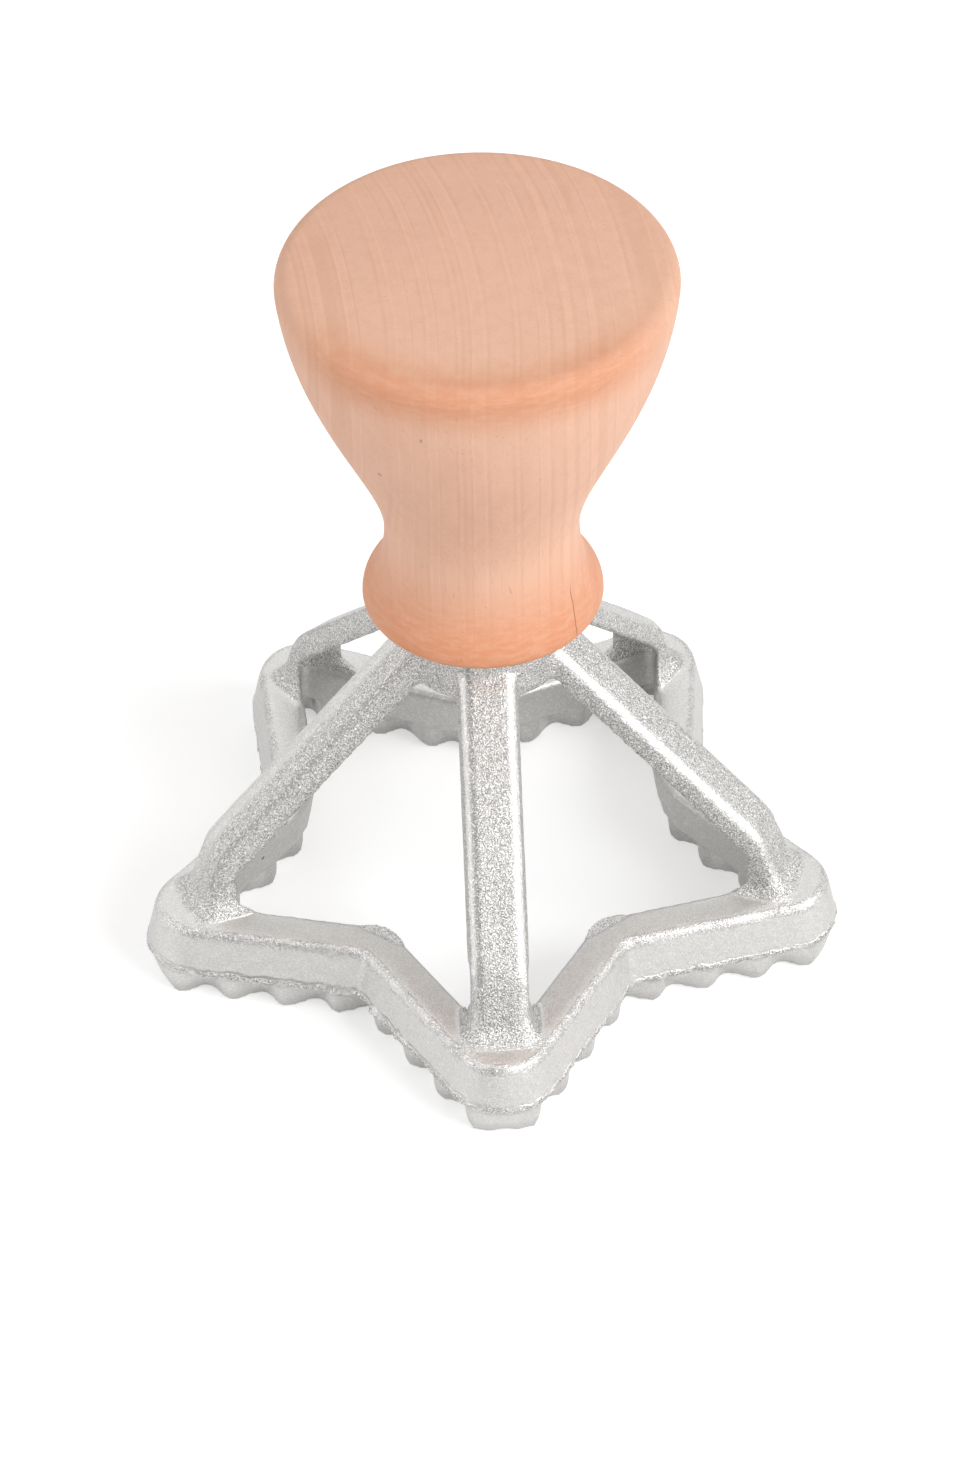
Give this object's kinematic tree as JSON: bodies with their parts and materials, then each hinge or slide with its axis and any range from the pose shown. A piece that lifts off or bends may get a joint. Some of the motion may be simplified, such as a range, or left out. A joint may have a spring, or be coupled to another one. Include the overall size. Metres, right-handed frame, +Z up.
{
  "type": "ravioli stamp",
  "caption": "Star-shaped ravioli stamp: a cast aluminium ring with a fluted cutting edge and sloping spokes, under a turned wooden knob handle.",
  "frame": {"origin": "on the handle's axis, on the plane of the cutting edge that the stamp stands on", "axes": "+Z up the handle's axis; one point of the star faces -Y, and the star is mirror-symmetric about the YZ plane"},
  "size_m": [0.0708, 0.0679, 0.0822],
  "materials": {
    "aluminium": "blasted casting, matte with fine sparkle, smoother on the inner walls",
    "beech": "fine sanded pale beech with a thin satin sealer",
    "steel": "zinc plated"
  },
  "bodies": {
    "root": {"star_frame": "aluminium", "handle": "beech", "handle_screw": "steel"}
  },
  "joints": []
}
